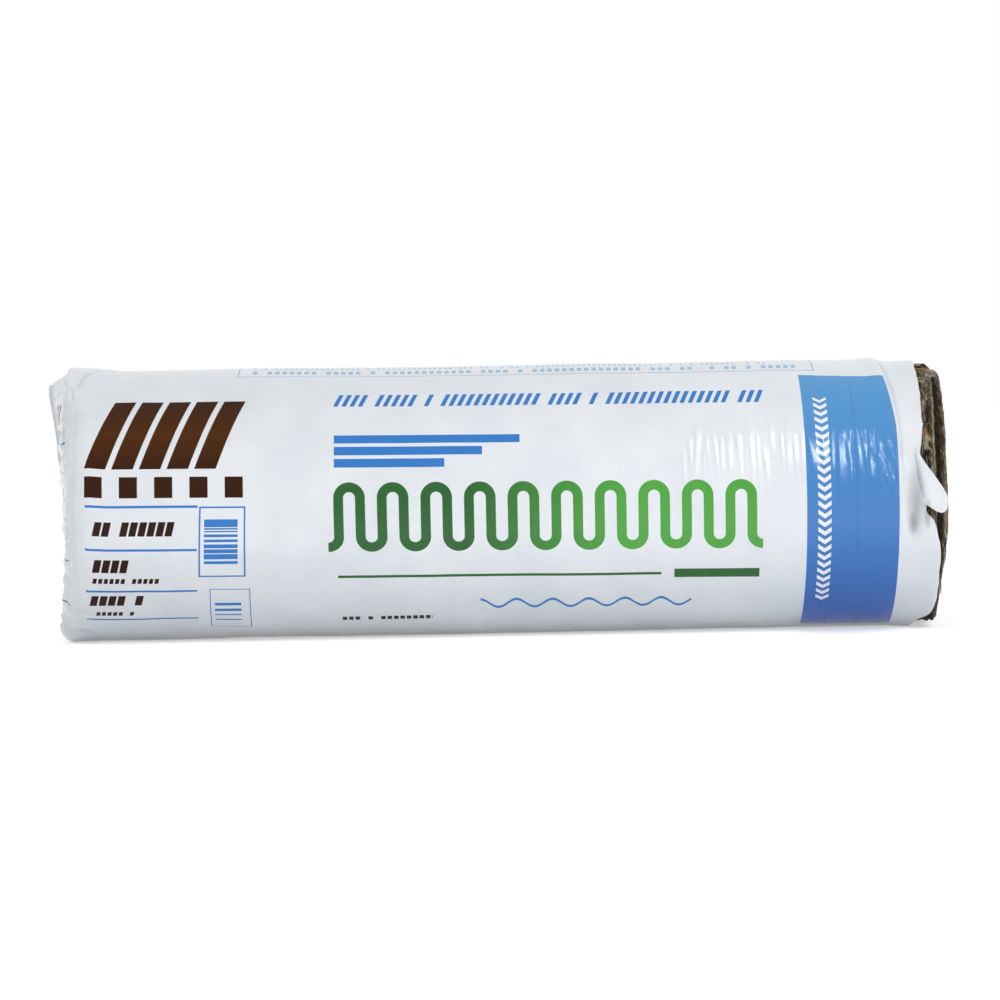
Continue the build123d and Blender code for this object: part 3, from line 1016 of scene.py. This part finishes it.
def make_facing(index):
    """Paper skin of one batt, a thin sheet with a slightly wavy free edge."""
    count = len(facing_names)
    share = 2 * (index + 1) / count - 1 if index < count / 2 else 2 * index / count - 1
    shift = -facing_shift if index < count / 2 else facing_shift
    high = np.array(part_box(f"kraft_facing_{index + 1}")[1])
    levels = np.linspace(-1, 1, 91)
    y, z = side_line(share, levels)
    z = z * facing_height_share
    end = high[0] - extra_setbacks[index % len(extra_setbacks)]
    end = end - z**2 / (2 * dome_radius) - low_tuck(z)
    end = end + 0.0015 * noise(0.4, 0.2, z / 0.02, 61 + index) - 0.0015
    insets = np.concatenate((np.linspace(0, 0.06, 12), (0.20, 0.50, 0.80, 1.10)))
    sealed_x = sealed_end_x(y) + sealed_gap
    sheets = []
    for face in (-1, 1):
        rows = []
        for inset in insets:
            curl = (0.0012 * noise(0.8, inset / 0.03, z / 0.035, 71 + index)) * max(0, 1 - inset / 0.05)
            rows.append(np.stack((end - inset, y + shift + curl + face * facing_half, z + radius), -1))
        for room, squeeze in ((sealed_corner, 1.0), (0.004, 0.88)):
            rows.append(np.stack((sealed_x + room, y + shift + face * facing_half, z * squeeze + radius), -1))
        sheets.append(np.array(rows))
    rows, columns = sheets[0].shape[:2]
    points = np.concatenate([sheet.reshape(-1, 3) for sheet in sheets])
    points[:, 2] -= top_dip(points[:, 0], points[:, 2])
    half = rows * columns
    faces = []
    for quad in grid_quads(rows, columns):
        faces += [quad[::-1], [half + value for value in quad]]
    rim_rows, rim_columns = rim_loop(rows, columns)
    ring = rim_rows * columns + rim_columns
    after = np.roll(ring, -1)
    faces += np.stack((ring, half + ring, half + after, after), -1).tolist()
    return mesh_object(f"kraft_facing_{index + 1}_paper", points, faces, kraft_look)


film = make_film()
flap = make_flap()
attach(film, "root")
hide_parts("film_bag")
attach(flap, "root")
for index, name in enumerate(batt_names):
    batt = make_batt(index)
    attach(batt, "root")
    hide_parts(name)
for index, name in enumerate(facing_names):
    facing = make_facing(index)
    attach(facing, "root")
    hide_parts(name)

# Floor, light and camera

floor_glow = 0.48
sky_light = 0.66
key_place = (1.65, -3.1, 2.47)
key_size = (0.14, 2.8)
key_power = 43.0
bounce_y = -0.62
bounce_height = 1.2
bounce_size = (1.9, 0.1)
bounce_power = 1.2
bounce_spread = math.radians(30)


def direct_view(tree):
    """1 for what the camera sees straight, in a mirror or through glass."""
    path = tree.nodes.new("ShaderNodeLightPath")
    shown = path.outputs["Is Camera Ray"]
    for ray in ("Is Glossy Ray", "Is Transmission Ray"):
        either = tree.nodes.new("ShaderNodeMath")
        either.operation = "MAXIMUM"
        tree.links.new(shown, either.inputs[0])
        tree.links.new(path.outputs[ray], either.inputs[1])
        shown = either.outputs[0]
    return shown


def make_floor():
    nodes = Nodes("floor")
    nodes.shade("Base Color", (0.93, 0.93, 0.93, 1))
    nodes.shade("Roughness", 0.9)
    nodes.shade("Specular IOR Level", 0.0)
    nodes.shade("Emission Color", (1, 1, 1, 1))
    nodes.shade("Emission Strength", nodes.math("MULTIPLY", direct_view(nodes.tree), floor_glow))
    reach = 30.0
    corners = [(-reach, -reach, 0), (reach, -reach, 0), (reach, reach, 0), (-reach, reach, 0)]
    floor = mesh_object("floor", corners, [(0, 1, 2, 3)], nodes.material, smooth=False)


def make_world():
    world = bpy.data.worlds.new("studio")
    world.use_nodes = True
    tree = world.node_tree
    sky = tree.nodes["Background"]
    sky.inputs["Color"].default_value = (1, 1, 1, 1)
    strength = tree.nodes.new("ShaderNodeMapRange")
    strength.inputs["To Min"].default_value = sky_light
    strength.inputs["To Max"].default_value = 1.0
    tree.links.new(direct_view(tree), strength.inputs["Value"])
    tree.links.new(strength.outputs["Result"], sky.inputs["Strength"])
    scene.world = world


def make_lamp(name, place, size, power, target):
    data = bpy.data.lights.new(name, "AREA")
    data.shape = "RECTANGLE"
    data.size, data.size_y = size
    data.energy = power
    lamp = bpy.data.objects.new(name, data)
    lamp.location = place
    lamp.rotation_euler = (Vector(target) - Vector(place)).to_track_quat("-Z", "Y").to_euler()
    lamp.visible_camera = False
    scene.collection.objects.link(lamp)
    return lamp


make_floor()
make_world()
pack_middle = (0.0, 0.0, radius)
make_lamp("key", key_place, key_size, key_power, pack_middle)
bounce_place = (0.0, bounce_y, bounce_height)
floor_bounce = make_lamp("floor_bounce", bounce_place, bounce_size, bounce_power, (0.0, bounce_y, 0.0))
floor_bounce.data.spread = bounce_spread
floor_bounce.visible_glossy = False

camera_x = -0.0075
camera_distance = 4.0
camera_rise = math.radians(2.0)
camera_roll = math.radians(1.1)
picture_width_at_top_edge = 1.377
aim_drop = 0.0035
camera_data = bpy.data.cameras.new("camera")
camera_data.sensor_width = 36.0
camera_data.lens = camera_data.sensor_width * (camera_distance + radius) / picture_width_at_top_edge
camera = bpy.data.objects.new("camera", camera_data)
aim = Vector((camera_x, 0, radius - aim_drop))
reach = camera_distance + half_depth
camera.location = aim + Vector((0, -reach, reach * math.tan(camera_rise)))
look = (aim - camera.location).to_track_quat("-Z", "Y").to_matrix().to_4x4()
camera.matrix_world = Matrix.Translation(camera.location) @ look @ Matrix.Rotation(-camera_roll, 4, "Z")
scene.collection.objects.link(camera)
scene.camera = camera
scene.view_settings.view_transform = "Standard"
